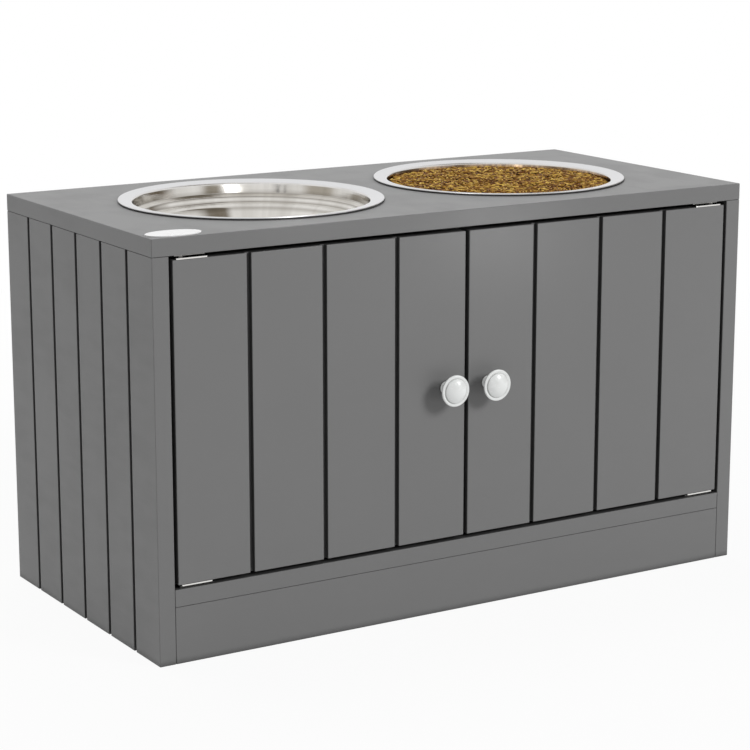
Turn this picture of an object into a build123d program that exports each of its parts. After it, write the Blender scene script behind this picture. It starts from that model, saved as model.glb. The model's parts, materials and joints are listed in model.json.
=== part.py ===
from build123d import *
from types import SimpleNamespace
import os

os.makedirs("parts", exist_ok=True)

# All lengths are in millimetres. X runs from left to right, +Y to the rear, +Z up.
# The origin is on the floor, at the middle of the whole footprint, knobs included.

# Cabinet boards
cabinet_width = 600
cabinet_depth = 290
cabinet_height = 356
top_board = 15
side_board = 15
bottom_board = 15
kick_board_thickness = 15
door_board = 15
back_board = 3
kick_height = 49
edge_round = 0.8
metal_chamfer = 0.6

# Plank grooves in the doors and the sides
groove_width = 4.3
groove_depth = 4.5
groove_round = 0.4
side_groove_pitch = 49.2
side_groove_count = 5
door_groove_pitch = 70.8
door_groove_count = 3

# Slot that holds the back panel
back_inset = 8
back_slot_depth = 5
back_slot_clearance = 0.15

# Doors and their pivot hinges
door_side_gap = 3.3
door_center_gap = 3.9
cabinet_leaf_thickness = 1.2
door_leaf_thickness = 1.2
leaf_running_gap = 1.1
leaf_length = 28.5
leaf_width = 13
leaf_corner_round = 1.5
leaf_end_to_pin = 6.8
cabinet_leaf_setback = 4.5
pin_inset = 10.2
pin_setback = 8
pin_radius = 2
pin_head_height = 0.8
pin_collar_radius = 3.2
pin_engagement = 4
pin_running_clearance = 0.05

# Countersunk wood screws
screw_length = 12
screw_shank_radius = 1.5
screw_head_radius = 2.6
screw_tip_length = 2
screw_recess_length = 3
screw_recess_width = 0.7
screw_recess_depth = 0.8
first_screw_from_pin = 7.5
screw_spacing = 8
fastener_clearance = 0.05
hole_bottom_gap = 0.5

# Knobs
knob_from_center = 21.6
knob_projection = 20.8
knob_rim_radius = 13.8
knob_rim_back = 14.4
knob_rim_front = 16.2
knob_dome_radius = 11.2
knob_dome_edge = 0.9
knob_dome_round = 0.6
knob_ring_groove = 0.5
knob_base_radius = 7.3
knob_base_thickness = 1.2
knob_base_round = 1.4
knob_neck_radius = 4.6
knob_neck_flare = 4.6
knob_edge_bend = 0.4
knob_bore_depth = 12
knob_screw_radius = 2
knob_screw_hole_clearance = 0.25
knob_screw_head_radius = 4
knob_screw_head_height = 2.2
knob_screw_end_gap = 1

# Magnetic catch
catch_ear_width = 46
catch_ear_thickness = 3
catch_body_width = 30
catch_body_height = 17
catch_depth = 13
catch_gap = 0.2
catch_screw_length = 11
magnet_width = 11
magnet_height = 4
magnet_depth = 7
magnet_from_center = 7.6
magnet_drop = 10.5
pole_plate_thickness = 1.2
pole_plate_projection = 0.6
pocket_clearance = 0.1
strike_width = 11
strike_height = 11
strike_thickness = 1.2
strike_screw_length = 10

# Cam bolts, cam locks and dowels
cam_setback = 24
cam_radius = 7.4
cam_bore_clearance = 0.1
cam_bore_skin = 2.5
cam_end_gap = 0.3
bolt_thread_radius = 2.9
bolt_thread_length = 8.5
bolt_thread_tip = 1
bolt_collar_radius = 3.5
bolt_collar_length = 1.5
bolt_neck_radius = 2.3
bolt_head_radius = 3.3
bolt_head_length = 3
bolt_bore_radius = 4
cam_pocket_clearance = 0.2
cam_cross_length = 8
cam_cross_width = 1.6
cam_cross_depth = 2
dowel_radius = 4
dowel_edge_length = 18
dowel_face_length = 9
dowel_chamfer = 0.8
kick_dowel_spacing = 300

# Bowls and food
bowl_spacing = 262
bowl_rim_radius = 116.5
bowl_rim_rise = 2.6
bowl_rim_bend = 0.9
bowl_rim_tuck = 1.3
bowl_rim_tuck_height = 1.3
bowl_rim_tuck_bend = 0.6
bowl_mouth_radius = 104.2
bowl_mouth_bend = 2.5
bowl_flange_drop = 1.2
bowl_sheet = 0.8
bowl_wall_taper = 1.5
bowl_ring_depth = 11.6
bowl_ring_width = 5
bowl_ring_drop = 2.5
bowl_ring_bend = 1.2
bowl_step_depth = 19
bowl_step_taper = 2
bowl_step_bend = 2
bowl_step_width = 6.5
bowl_step_drop = 3
bowl_dish_bend = 5
bowl_depth = 52
bowl_floor_radius = 66
bowl_floor_bend = 26
cutout_clearance = 1.2
food_level_below_rim = 5.4
food_clearance = 0.3
food_mound_height = 1.6
food_mound_radius = 19
food_mound_root = 1
food_mound_rings = ((33, 6), (66, 12))

# Badge on the top panel
badge_length = 49
badge_width = 28.6
badge_thickness = 0.8
badge_round = 0.3
badge_from_side = 27.5
badge_from_front = 16.5

# Levels and faces that the pieces share
total_depth = cabinet_depth + knob_projection
front_y = knob_projection - total_depth / 2
back_y = total_depth / 2
middle_y = (front_y + back_y) / 2
inner_half_width = cabinet_width / 2 - side_board
top_underside_z = cabinet_height - top_board
floor_board_z = kick_height + bottom_board
door_end_gap = cabinet_leaf_thickness + leaf_running_gap + door_leaf_thickness
door_bottom_z = floor_board_z + door_end_gap
door_top_z = top_underside_z - door_end_gap
door_middle_z = (door_bottom_z + door_top_z) / 2
door_width = inner_half_width - door_side_gap - door_center_gap / 2
door_back_y = front_y + door_board
back_panel_front_y = back_y - back_inset - back_board
bowl_rim_top_z = cabinet_height + bowl_rim_rise
cutout_radius = bowl_mouth_radius + bowl_sheet + cutout_clearance

# Places between the plank grooves, so that no bore meets a groove from behind
inner_plank_y = side_groove_pitch / 2
outer_plank_y = side_groove_pitch * 3 / 2

sides = (("left", -1), ("right", 1))
middle_plane = Plane(origin=(0, middle_y, 0))
round_slack = 0.01


def save(part, name):
    """Label a finished piece and write it under its own name."""
    part.label = name
    export_step(part, f"parts/{name}.step")


# Fasteners, each made once about its own origin and then set in place


def wood_screw(length):
    """Countersunk screw that points down, its head's flat face at the origin."""
    with BuildPart() as screw:
        with BuildSketch(Plane.XZ):
            with BuildLine():
                Polyline(
                    (0, 0),
                    (screw_head_radius, 0),
                    (screw_shank_radius, screw_shank_radius - screw_head_radius),
                    (screw_shank_radius, screw_tip_length - length),
                    (0, -length),
                    close=True,
                )
            make_face()
        revolve(axis=Axis.Z)
        with BuildSketch():
            Rectangle(screw_recess_length, screw_recess_width)
            Rectangle(screw_recess_width, screw_recess_length)
        extrude(amount=-screw_recess_depth, mode=Mode.SUBTRACT)
    return screw.part


def cam_bolt():
    """Bolt whose thread runs down from the origin and whose head stands up in the cam lock."""
    neck_top = cam_setback - bolt_head_length / 2
    with BuildPart() as bolt:
        with BuildSketch(Plane.XZ):
            with BuildLine():
                Polyline(
                    (0, -bolt_thread_length),
                    (bolt_thread_radius - bolt_thread_tip, -bolt_thread_length),
                    (bolt_thread_radius, bolt_thread_tip - bolt_thread_length),
                    (bolt_thread_radius, 0),
                    (bolt_collar_radius, 0),
                    (bolt_collar_radius, bolt_collar_length),
                    (bolt_neck_radius, bolt_collar_length),
                    (bolt_neck_radius, neck_top),
                    (bolt_head_radius, neck_top),
                    (bolt_head_radius, neck_top + bolt_head_length),
                    (0, neck_top + bolt_head_length),
                    close=True,
                )
            make_face()
        revolve(axis=Axis.Z)
    return bolt.part


def cam_lock(board):
    """Cam lock for a board of this thickness: face at the origin, pocket for the bolt along +X."""
    pocket_radius = bolt_head_radius + cam_pocket_clearance
    pocket_end = -bolt_head_length / 2 - cam_pocket_clearance
    with BuildPart() as lock:
        with BuildSketch():
            Circle(cam_radius)
        extrude(amount=-(board - cam_bore_skin - cam_end_gap))
        with BuildSketch(Plane.YZ.offset(pocket_end)):
            with Locations((0, -board / 2)):
                Circle(pocket_radius)
        extrude(amount=cam_radius - pocket_end, mode=Mode.SUBTRACT)
        with BuildSketch():
            Rectangle(cam_cross_length, cam_cross_width)
            Rectangle(cam_cross_width, cam_cross_length)
        extrude(amount=-cam_cross_depth, mode=Mode.SUBTRACT)
    return lock.part


def dowel():
    """Wooden dowel: its long end down in a board's edge, its short end up in a board's face."""
    with BuildPart() as peg:
        with BuildSketch(Plane.XY.offset(-dowel_edge_length)):
            Circle(dowel_radius)
        extrude(amount=dowel_edge_length + dowel_face_length)
        chamfer(peg.edges().filter_by(GeomType.CIRCLE), dowel_chamfer)
    return peg.part


# Where the boards are joined


def cam_joint(point, into_board, cam_face, board):
    """A bolt from this point into a board's edge, and the cam lock that grips it in that board."""
    start = Vector(*point)
    inward = Vector(*into_board)
    outward = Vector(*cam_face)
    lock_face = start + inward * cam_setback + outward * (board / 2)
    return SimpleNamespace(
        bolt=Plane(origin=start, z_dir=inward),
        lock=Plane(origin=lock_face, x_dir=-inward, z_dir=outward),
    )


def bolt_planes(joints):
    return [joint.bolt for joint in joints]


def lock_planes(joints):
    return [joint.lock for joint in joints]


def side_cam_joints(sign):
    """Bolts hang from the top panel into the side panel's upper edge."""
    x = sign * (cabinet_width - side_board) / 2
    return [
        cam_joint((x, middle_y + y, top_underside_z), (0, 0, -1), (-sign, 0, 0), side_board)
        for y in (-outer_plank_y, outer_plank_y)
    ]


def bottom_cam_joints(sign):
    """Bolts stand out of the side panel's inner face into the bottom panel's end."""
    x = sign * inner_half_width
    z = kick_height + bottom_board / 2
    return [
        cam_joint((x, middle_y + y, z), (-sign, 0, 0), (0, 0, -1), bottom_board)
        for y in (-outer_plank_y, outer_plank_y)
    ]


def kick_cam_joints(sign):
    """One bolt stands out of the side panel's inner face into the kick board's end."""
    point = (sign * inner_half_width, front_y + kick_board_thickness / 2, kick_height / 2)
    return [cam_joint(point, (-sign, 0, 0), (0, 1, 0), kick_board_thickness)]


def side_dowel_planes(sign):
    """Dowels from the side panel's upper edge up into the top panel."""
    x = sign * (cabinet_width - side_board) / 2
    return [
        Plane(origin=(x, middle_y + y, top_underside_z), z_dir=(0, 0, 1))
        for y in (-inner_plank_y, inner_plank_y)
    ]


def bottom_dowel_planes(sign):
    """Dowels from the bottom panel's end out into the side panel."""
    z = kick_height + bottom_board / 2
    return [
        Plane(origin=(sign * inner_half_width, middle_y + y, z), z_dir=(sign, 0, 0))
        for y in (-inner_plank_y, inner_plank_y)
    ]


kick_dowel_planes = [
    Plane(origin=(x, front_y + kick_board_thickness / 2, kick_height), z_dir=(0, 0, 1))
    for x in (-kick_dowel_spacing / 2, kick_dowel_spacing / 2)
]

thread_hole_radius = bolt_thread_radius + fastener_clearance
thread_hole_depth = bolt_thread_length + hole_bottom_gap
cam_bore_radius = cam_radius + cam_bore_clearance
dowel_hole_radius = dowel_radius + fastener_clearance
pilot_radius = screw_shank_radius + fastener_clearance
pilot_depth = screw_length + hole_bottom_gap


def face_screw_holes(planes):
    """Cut the holes for cam bolt threads in the board being built."""
    with Locations(*planes):
        Hole(thread_hole_radius, thread_hole_depth)


def edge_bolt_bores(joints, board):
    """Cut the edge bores and the cam bores of these joints in the board being built."""
    with Locations(*bolt_planes(joints)):
        Hole(bolt_bore_radius, cam_setback)
    with Locations(*lock_planes(joints)):
        Hole(cam_bore_radius, board - cam_bore_skin)


def dowel_holes(planes, length):
    """Cut dowel holes of this depth in the board being built."""
    with Locations(*planes):
        Hole(dowel_hole_radius, length + hole_bottom_gap)


# Hinges: one at each outer corner of each door, upper and lower


def hinge_place(side, sign, height, up):
    """Where one hinge sits; up is 1 at the top panel and -1 at the bottom panel."""
    board_z = top_underside_z if up > 0 else floor_board_z
    pin_x = sign * (inner_half_width - door_side_gap - pin_inset)
    return SimpleNamespace(
        name=f"{side}_{height}_hinge",
        up=up,
        pin_x=pin_x,
        pin_y=front_y + pin_setback,
        leaf_x=pin_x - sign * (leaf_length / 2 - leaf_end_to_pin),
        screw_x=[
            pin_x - sign * (first_screw_from_pin + step * screw_spacing) for step in (0, 1)
        ],
        board_z=board_z,
        cabinet_leaf_z=board_z - up * cabinet_leaf_thickness,
        door_leaf_z=board_z - up * (cabinet_leaf_thickness + leaf_running_gap),
        door_end_z=board_z - up * door_end_gap,
    )


def door_hinges(side, sign):
    return [
        hinge_place(side, sign, "upper", 1),
        hinge_place(side, sign, "lower", -1),
    ]


all_hinges = [hinge for side, sign in sides for hinge in door_hinges(side, sign)]


def looking(direction, x, y, z):
    """Plane at a point of a horizontal face that looks up (1) or down (-1)."""
    return Plane(origin=(x, y, z), z_dir=(0, 0, direction))


def screw_planes(hinge, direction, z):
    return [looking(direction, x, hinge.pin_y, z) for x in hinge.screw_x]


# Top panel
with BuildPart() as top_panel:
    with BuildSketch(middle_plane.offset(top_underside_z)):
        Rectangle(cabinet_width, cabinet_depth)
    extrude(amount=top_board)
    fillet(top_panel.edges(), edge_round)
    with Locations(*[(sign * bowl_spacing / 2, middle_y, cabinet_height) for side, sign in sides]):
        Hole(cutout_radius)
    with BuildSketch(Plane.XY.offset(top_underside_z)):
        with Locations((0, back_panel_front_y + back_board / 2)):
            Rectangle(
                2 * (inner_half_width + back_slot_depth),
                back_board + 2 * back_slot_clearance,
            )
    extrude(amount=back_slot_depth, mode=Mode.SUBTRACT)
    for side, sign in sides:
        face_screw_holes(bolt_planes(side_cam_joints(sign)))
        dowel_holes(side_dowel_planes(sign), dowel_face_length)
    for hinge in door_hinges("left", -1)[:1] + door_hinges("right", 1)[:1]:
        with Locations(*screw_planes(hinge, -1, top_underside_z)):
            Hole(pilot_radius, pilot_depth - cabinet_leaf_thickness)
    catch_ear_x = (catch_ear_width + catch_body_width) / 4
    catch_front_y = door_back_y + strike_thickness + catch_gap + pole_plate_projection
    with Locations(
        looking(-1, -catch_ear_x, catch_front_y + catch_depth / 2, top_underside_z),
        looking(-1, catch_ear_x, catch_front_y + catch_depth / 2, top_underside_z),
    ):
        Hole(pilot_radius, catch_screw_length + hole_bottom_gap - catch_ear_thickness)
save(top_panel.part, "top_panel")

# Side panels
side_height = top_underside_z
for side, sign in sides:
    with BuildPart() as side_panel:
        with BuildSketch(middle_plane):
            with Locations((sign * (cabinet_width - side_board) / 2, 0)):
                Rectangle(side_board, cabinet_depth)
        extrude(amount=side_height)
        fillet(side_panel.edges(), edge_round)
        with BuildSketch(middle_plane):
            with Locations((sign * cabinet_width / 2, 0)):
                with GridLocations(0, side_groove_pitch, 1, side_groove_count):
                    Rectangle(2 * groove_depth, groove_width)
        extrude(amount=side_height, mode=Mode.SUBTRACT)
        groove_reach = (side_groove_count - 1) / 2 * side_groove_pitch + groove_width
        outer_x = sign * cabinet_width / 2
        mouth_edges = (
            side_panel.edges()
            .filter_by(Axis.Z)
            .filter_by_position(Axis.X, outer_x - round_slack, outer_x + round_slack)
            .filter_by_position(Axis.Y, middle_y - groove_reach, middle_y + groove_reach)
        )
        fillet(mouth_edges, groove_round)
        with BuildSketch():
            with Locations((sign * inner_half_width, back_panel_front_y + back_board / 2)):
                Rectangle(2 * back_slot_depth, back_board + 2 * back_slot_clearance)
        extrude(amount=side_height, mode=Mode.SUBTRACT)
        edge_bolt_bores(side_cam_joints(sign), side_board)
        face_screw_holes(bolt_planes(bottom_cam_joints(sign)))
        face_screw_holes(bolt_planes(kick_cam_joints(sign)))
        dowel_holes(side_dowel_planes(sign), dowel_edge_length)
        dowel_holes(bottom_dowel_planes(sign), dowel_face_length)
    save(side_panel.part, f"{side}_side_panel")

# Bottom panel
with BuildPart() as bottom_panel:
    with BuildSketch(middle_plane.offset(kick_height)):
        Rectangle(2 * inner_half_width, cabinet_depth)
    extrude(amount=bottom_board)
    fillet(bottom_panel.edges(), edge_round)
    with BuildSketch(Plane.XY.offset(floor_board_z)):
        with Locations((0, back_panel_front_y + back_board / 2)):
            Rectangle(2 * inner_half_width, back_board + 2 * back_slot_clearance)
    extrude(amount=-back_slot_depth, mode=Mode.SUBTRACT)
    for side, sign in sides:
        edge_bolt_bores(bottom_cam_joints(sign), bottom_board)
        dowel_holes(bottom_dowel_planes(sign), dowel_edge_length)
    dowel_holes(kick_dowel_planes, dowel_face_length)
    for hinge in door_hinges("left", -1)[1:] + door_hinges("right", 1)[1:]:
        with Locations(*screw_planes(hinge, 1, floor_board_z)):
            Hole(pilot_radius, pilot_depth - cabinet_leaf_thickness)
save(bottom_panel.part, "bottom_panel")

# Kick board
with BuildPart() as kick_board:
    with BuildSketch(Plane.XY):
        with Locations((0, front_y + kick_board_thickness / 2)):
            Rectangle(2 * inner_half_width, kick_board_thickness)
    extrude(amount=kick_height)
    fillet(kick_board.edges(), edge_round)
    for side, sign in sides:
        edge_bolt_bores(kick_cam_joints(sign), kick_board_thickness)
    dowel_holes(kick_dowel_planes, dowel_edge_length)
save(kick_board.part, "kick_board")

# Back panel, held in the slots of the four boards around it
back_panel_width = 2 * (inner_half_width + back_slot_depth - back_slot_clearance)
back_panel_bottom_z = floor_board_z - back_slot_depth + back_slot_clearance
back_panel_top_z = top_underside_z + back_slot_depth - back_slot_clearance
with BuildPart() as back_panel:
    with BuildSketch(Plane.XY.offset(back_panel_bottom_z)):
        with Locations((0, back_panel_front_y + back_board / 2)):
            Rectangle(back_panel_width, back_board)
    extrude(amount=back_panel_top_z - back_panel_bottom_z)
save(back_panel.part, "back_panel")

# Doors
door_center_x = door_center_gap / 2 + door_width / 2
knob_screw_hole_radius = knob_screw_radius + knob_screw_hole_clearance
strike_z = top_underside_z - magnet_drop
for side, sign in sides:
    with BuildPart() as door:
        with BuildSketch(Plane.XY.offset(door_bottom_z)):
            with Locations((sign * door_center_x, front_y + door_board / 2)):
                Rectangle(door_width, door_board)
        extrude(amount=door_top_z - door_bottom_z)
        fillet(door.edges(), edge_round)
        with BuildSketch(Plane.XY.offset(door_bottom_z)):
            with Locations((sign * door_center_x, front_y)):
                with GridLocations(door_groove_pitch, 0, door_groove_count, 1):
                    Rectangle(groove_width, 2 * groove_depth)
        extrude(amount=door_top_z - door_bottom_z, mode=Mode.SUBTRACT)
        groove_reach = (door_groove_count - 1) / 2 * door_groove_pitch + groove_width
        mouth_edges = (
            door.edges()
            .filter_by(Axis.Z)
            .filter_by_position(Axis.Y, front_y - round_slack, front_y + round_slack)
            .filter_by_position(
                Axis.X, sign * door_center_x - groove_reach, sign * door_center_x + groove_reach
            )
        )
        fillet(mouth_edges, groove_round)
        with Locations(Plane(origin=(sign * knob_from_center, front_y, door_middle_z), z_dir=(0, -1, 0))):
            Hole(knob_screw_hole_radius)
        with Locations(Plane(origin=(sign * magnet_from_center, door_back_y, strike_z), z_dir=(0, 1, 0))):
            Hole(pilot_radius, strike_screw_length + hole_bottom_gap - strike_thickness)
        for hinge in door_hinges(side, sign):
            with Locations(*screw_planes(hinge, hinge.up, hinge.door_end_z)):
                Hole(pilot_radius, pilot_depth - door_leaf_thickness)
            with Locations(looking(hinge.up, hinge.pin_x, hinge.pin_y, hinge.door_end_z)):
                Hole(pin_radius + pin_running_clearance, pin_engagement + hole_bottom_gap)
    save(door.part, f"{side}_door")

# Hinge leaves, their pins and their screws
pin_hole_radius = pin_radius + pin_running_clearance
pin_head_radius = pin_radius + pin_head_height
pin_length = door_end_gap + pin_engagement
pin_collar_end = cabinet_leaf_thickness + leaf_running_gap - pin_running_clearance
countersink_angle = 90


def hinge_leaf(hinge, setback, edge_z, thickness, grows):
    """Flat hinge plate with one face at edge_z, this far behind the door's front face."""
    width = leaf_width - setback
    with BuildPart() as plate:
        with BuildSketch(Plane.XY.offset(edge_z)):
            with Locations((hinge.leaf_x, front_y + setback + width / 2)):
                RectangleRounded(leaf_length, width, leaf_corner_round)
        extrude(amount=grows * thickness)
    return plate.part


def countersunk_holes(planes, shank_radius, head_radius):
    """Cut countersunk clearance holes through the plate being built."""
    with Locations(*planes):
        CounterSinkHole(
            shank_radius + fastener_clearance,
            head_radius + fastener_clearance,
            counter_sink_angle=countersink_angle,
        )


def hinge_pin():
    """Pin that points down from its countersunk head, with a collar between the two leaves."""
    with BuildPart() as pin:
        with BuildSketch(Plane.XZ):
            with BuildLine():
                Polyline(
                    (0, 0),
                    (pin_head_radius, 0),
                    (pin_radius, -pin_head_height),
                    (pin_radius, -cabinet_leaf_thickness),
                    (pin_collar_radius, -cabinet_leaf_thickness),
                    (pin_collar_radius, -pin_collar_end),
                    (pin_radius, -pin_collar_end),
                    (pin_radius, metal_chamfer - pin_length),
                    (pin_radius - metal_chamfer, -pin_length),
                    (0, -pin_length),
                    close=True,
                )
            make_face()
        revolve(axis=Axis.Z)
    return pin.part


for hinge in all_hinges:
    with BuildPart() as cabinet_leaf:
        add(hinge_leaf(hinge, cabinet_leaf_setback, hinge.board_z, cabinet_leaf_thickness, -hinge.up))
        countersunk_holes(
            screw_planes(hinge, -hinge.up, hinge.cabinet_leaf_z), screw_shank_radius, screw_head_radius
        )
        countersunk_holes(
            [looking(hinge.up, hinge.pin_x, hinge.pin_y, hinge.board_z)], pin_radius, pin_head_radius
        )
    save(cabinet_leaf.part, f"{hinge.name}_cabinet_leaf")

    with BuildPart() as door_leaf:
        add(hinge_leaf(hinge, 0, hinge.door_end_z, door_leaf_thickness, hinge.up))
        countersunk_holes(
            screw_planes(hinge, hinge.up, hinge.door_leaf_z), screw_shank_radius, screw_head_radius
        )
        with Locations(looking(hinge.up, hinge.pin_x, hinge.pin_y, hinge.door_leaf_z)):
            Hole(pin_hole_radius)
    save(door_leaf.part, f"{hinge.name}_door_leaf")

    with BuildPart() as pin:
        with Locations(looking(hinge.up, hinge.pin_x, hinge.pin_y, hinge.board_z)):
            add(hinge_pin())
    save(pin.part, f"{hinge.name}_pin")

with BuildPart() as cabinet_hinge_screws:
    for hinge in all_hinges:
        with Locations(*screw_planes(hinge, -hinge.up, hinge.cabinet_leaf_z)):
            add(wood_screw(screw_length))
save(cabinet_hinge_screws.part, "cabinet_hinge_screws")

for side, sign in sides:
    with BuildPart() as door_hinge_screws:
        for hinge in door_hinges(side, sign):
            with Locations(*screw_planes(hinge, hinge.up, hinge.door_leaf_z)):
                add(wood_screw(screw_length))
    save(door_hinge_screws.part, f"{side}_door_hinge_screws")

# Knobs and the screws that hold them through the doors
knob_rim_round = (knob_rim_front - knob_rim_back) / 2
knob_rim_middle = (knob_rim_front + knob_rim_back) / 2
knob_screw_length = door_board + knob_bore_depth - knob_screw_end_gap
dome_shoulder = (knob_dome_radius, knob_rim_front + knob_dome_edge)


def knob_screw():
    """Pan head screw that points down, the seat of its head at the origin."""
    with BuildPart() as screw:
        with BuildSketch(Plane.XZ):
            with BuildLine():
                Polyline(
                    (0, knob_screw_head_height),
                    (knob_screw_head_radius - metal_chamfer, knob_screw_head_height),
                    (knob_screw_head_radius, knob_screw_head_height - metal_chamfer),
                    (knob_screw_head_radius, 0),
                    (knob_screw_radius, 0),
                    (knob_screw_radius, metal_chamfer - knob_screw_length),
                    (knob_screw_radius - metal_chamfer, -knob_screw_length),
                    (0, -knob_screw_length),
                    close=True,
                )
            make_face()
        revolve(axis=Axis.Z)
        with BuildSketch(Plane.XY.offset(knob_screw_head_height)):
            Rectangle(screw_recess_length, screw_recess_width)
            Rectangle(screw_recess_width, screw_recess_length)
        extrude(amount=-screw_recess_depth, mode=Mode.SUBTRACT)
    return screw.part


for side, sign in sides:
    knob_seat = (sign * knob_from_center, front_y, door_middle_z)
    with BuildPart() as knob:
        with BuildSketch(Plane(origin=knob_seat, x_dir=(1, 0, 0), z_dir=(0, 0, -1))) as knob_outline:
            with BuildLine():
                FilletPolyline(
                    (0, 0),
                    (knob_base_radius, 0),
                    (knob_base_radius, knob_base_thickness),
                    (knob_neck_radius, knob_base_thickness + knob_base_round),
                    (knob_neck_radius, knob_rim_back - knob_neck_flare),
                    (knob_rim_radius - knob_rim_round, knob_rim_back),
                    radius=(knob_edge_bend, knob_edge_bend, knob_base_round, knob_neck_flare),
                )
                ThreePointArc(
                    (knob_rim_radius - knob_rim_round, knob_rim_back),
                    (knob_rim_radius, knob_rim_middle),
                    (knob_rim_radius - knob_rim_round, knob_rim_front),
                )
                Polyline(
                    (knob_rim_radius - knob_rim_round, knob_rim_front),
                    (knob_dome_radius + knob_ring_groove, knob_rim_front),
                    (knob_dome_radius, knob_rim_front - knob_ring_groove),
                    (knob_dome_radius, knob_rim_front),
                )
                Line((knob_dome_radius, knob_rim_front), dome_shoulder)
                TangentArc((0, knob_projection), dome_shoulder, tangent=(1, 0))
                Line((0, knob_projection), (0, 0))
            make_face()
            shoulder_vertex = knob_outline.vertices().sort_by_distance(dome_shoulder)[0]
            fillet(shoulder_vertex, knob_dome_round)
        revolve(axis=Axis(knob_seat, (0, -1, 0)))
        with Locations(Plane(origin=knob_seat, z_dir=(0, 1, 0))):
            Hole(knob_screw_radius + fastener_clearance, knob_bore_depth)
    save(knob.part, f"{side}_knob")

    with BuildPart() as fixing:
        with Locations(Plane(origin=(knob_seat[0], door_back_y, door_middle_z), z_dir=(0, 1, 0))):
            add(knob_screw())
    save(fixing.part, f"{side}_knob_screw")

# Magnetic catch under the top panel, and the strike plates on the doors' backs
catch_middle_y = catch_front_y + catch_depth / 2
pole_offset_z = (magnet_height + pole_plate_thickness) / 2
pocket_height = magnet_height + 2 * (pole_plate_thickness + pocket_clearance)
catch_ear_z = top_underside_z - catch_ear_thickness
catch_screw_planes = [looking(-1, x, catch_middle_y, catch_ear_z) for x in (-catch_ear_x, catch_ear_x)]

with BuildPart() as catch_housing:
    with BuildSketch(Plane.XY.offset(top_underside_z)):
        with Locations((0, catch_middle_y)):
            Rectangle(catch_ear_width, catch_depth)
    extrude(amount=-catch_ear_thickness)
    with BuildSketch(Plane.XY.offset(top_underside_z)):
        with Locations((0, catch_middle_y)):
            Rectangle(catch_body_width, catch_depth)
    extrude(amount=-catch_body_height)
    with BuildSketch(Plane(origin=(0, catch_front_y, strike_z), x_dir=(1, 0, 0), z_dir=(0, -1, 0))):
        with Locations((-magnet_from_center, 0), (magnet_from_center, 0)):
            Rectangle(magnet_width + 2 * pocket_clearance, pocket_height)
    extrude(amount=-(magnet_depth + pocket_clearance), mode=Mode.SUBTRACT)
    countersunk_holes(catch_screw_planes, screw_shank_radius, screw_head_radius)
save(catch_housing.part, "catch_housing")

with BuildPart() as catch_screws:
    with Locations(*catch_screw_planes):
        add(wood_screw(catch_screw_length))
save(catch_screws.part, "catch_screws")

with BuildPart() as catch_magnets:
    with BuildSketch(Plane.XY.offset(strike_z - magnet_height / 2)):
        with Locations(
            (-magnet_from_center, catch_front_y + magnet_depth / 2),
            (magnet_from_center, catch_front_y + magnet_depth / 2),
        ):
            Rectangle(magnet_width, magnet_depth)
    extrude(amount=magnet_height)
save(catch_magnets.part, "catch_magnets")

pole_plate_depth = magnet_depth + pole_plate_projection
pole_plate_y = catch_front_y - pole_plate_projection + pole_plate_depth / 2
with BuildPart() as catch_pole_plates:
    for pole_z in (strike_z - pole_offset_z, strike_z + pole_offset_z):
        with BuildSketch(Plane.XY.offset(pole_z - pole_plate_thickness / 2)):
            with Locations((-magnet_from_center, pole_plate_y), (magnet_from_center, pole_plate_y)):
                Rectangle(magnet_width, pole_plate_depth)
        extrude(amount=pole_plate_thickness)
save(catch_pole_plates.part, "catch_pole_plates")

for side, sign in sides:
    strike_x = sign * magnet_from_center
    strike_face = Plane(origin=(strike_x, door_back_y + strike_thickness, strike_z), z_dir=(0, 1, 0))
    with BuildPart() as strike_plate:
        with BuildSketch(Plane(origin=(strike_x, door_back_y, strike_z), z_dir=(0, 1, 0))):
            Rectangle(strike_width, strike_height)
        extrude(amount=strike_thickness)
        countersunk_holes([strike_face], screw_shank_radius, screw_head_radius)
    save(strike_plate.part, f"{side}_strike_plate")

    with BuildPart() as strike_screw:
        with Locations(strike_face):
            add(wood_screw(strike_screw_length))
    save(strike_screw.part, f"{side}_strike_screw")

# Cam bolts, cam locks and dowels
both_side_joints = side_cam_joints(-1) + side_cam_joints(1)
both_bottom_joints = bottom_cam_joints(-1) + bottom_cam_joints(1)
both_kick_joints = kick_cam_joints(-1) + kick_cam_joints(1)
cam_groups = (
    ("top", both_side_joints, side_board),
    ("bottom", both_bottom_joints, bottom_board),
    ("kick_board", both_kick_joints, kick_board_thickness),
)
for group, joints, board in cam_groups:
    with BuildPart() as cam_bolts:
        with Locations(*bolt_planes(joints)):
            add(cam_bolt())
    save(cam_bolts.part, f"{group}_cam_bolts")

    with BuildPart() as cam_locks:
        with Locations(*lock_planes(joints)):
            add(cam_lock(board))
    save(cam_locks.part, f"{group}_cam_locks")

dowel_groups = (
    ("top", side_dowel_planes(-1) + side_dowel_planes(1)),
    ("bottom", bottom_dowel_planes(-1) + bottom_dowel_planes(1)),
    ("kick_board", kick_dowel_planes),
)
for group, planes in dowel_groups:
    with BuildPart() as dowels:
        with Locations(*planes):
            add(dowel())
    save(dowels.part, f"{group}_dowels")

# Bowls
bowl_ring_outer_radius = bowl_mouth_radius - bowl_wall_taper
bowl_ring_inner_radius = bowl_ring_outer_radius - bowl_ring_width
bowl_step_radius = bowl_ring_inner_radius - bowl_step_taper
bowl_bends = (bowl_ring_bend, bowl_ring_bend, bowl_step_bend, bowl_dish_bend, bowl_floor_bend)


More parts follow.
